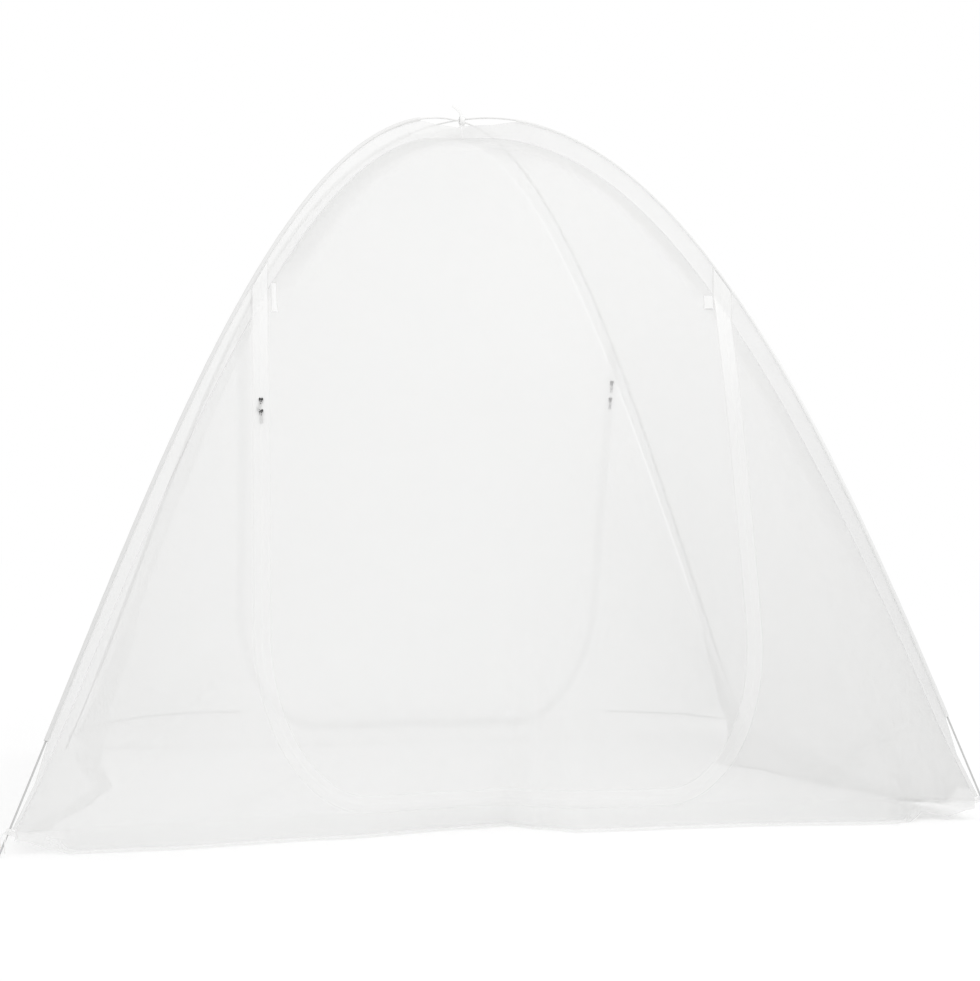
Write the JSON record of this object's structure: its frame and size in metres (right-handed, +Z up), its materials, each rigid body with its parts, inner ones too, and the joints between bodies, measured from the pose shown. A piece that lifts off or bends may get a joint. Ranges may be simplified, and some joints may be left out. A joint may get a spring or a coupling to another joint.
{
  "type": "pop-up dome mosquito net with spring wire frame",
  "caption": "Free-standing white mosquito net dome on crossed spring wires, with zipped arch doors front and back and a slack hem on the floor.",
  "frame": {"origin": "on the floor, below the crossing of the wires at the crown", "axes": "+X along the width, +Y from the front door to the back door, +Z up"},
  "size_m": [2.0043, 1.504, 1.6646],
  "materials": {
    "coated_wire": "white plastic coated spring steel",
    "white_net": "sheer knitted polyester net",
    "white_tape": "plain woven polyester tape",
    "white_ribbon": "narrow woven ribbon",
    "black_enamel": "black enamelled zinc",
    "grey_metal": "grey lacquered zinc"
  },
  "bodies": {
    "root": {"frame_wire_a": "coated_wire", "frame_wire_b": "coated_wire", "wire_sleeve_front_left": "white_tape", "wire_sleeve_front_right": "white_tape", "wire_sleeve_back_left": "white_tape", "wire_sleeve_back_right": "white_tape", "left_net": "white_net", "right_net": "white_net", "front_net": "white_net", "front_zip_tape": "white_tape", "front_door": "white_net", "back_net": "white_net", "back_zip_tape": "white_tape", "back_door": "white_net", "door_tie_left": "white_ribbon", "door_tie_right": "white_ribbon", "foot_tie_front_left": "white_ribbon", "foot_tie_front_right": "white_ribbon", "foot_tie_back_left": "white_ribbon", "foot_tie_back_right": "white_ribbon", "crown_tie": "white_ribbon", "zip_slider_front_upper": "black_enamel", "zip_pull_front_upper": "grey_metal", "zip_slider_front_lower": "black_enamel", "zip_pull_front_lower": "grey_metal", "zip_slider_back_upper": "black_enamel", "zip_pull_back_upper": "grey_metal", "zip_slider_back_lower": "black_enamel", "zip_pull_back_lower": "grey_metal"}
  },
  "joints": []
}
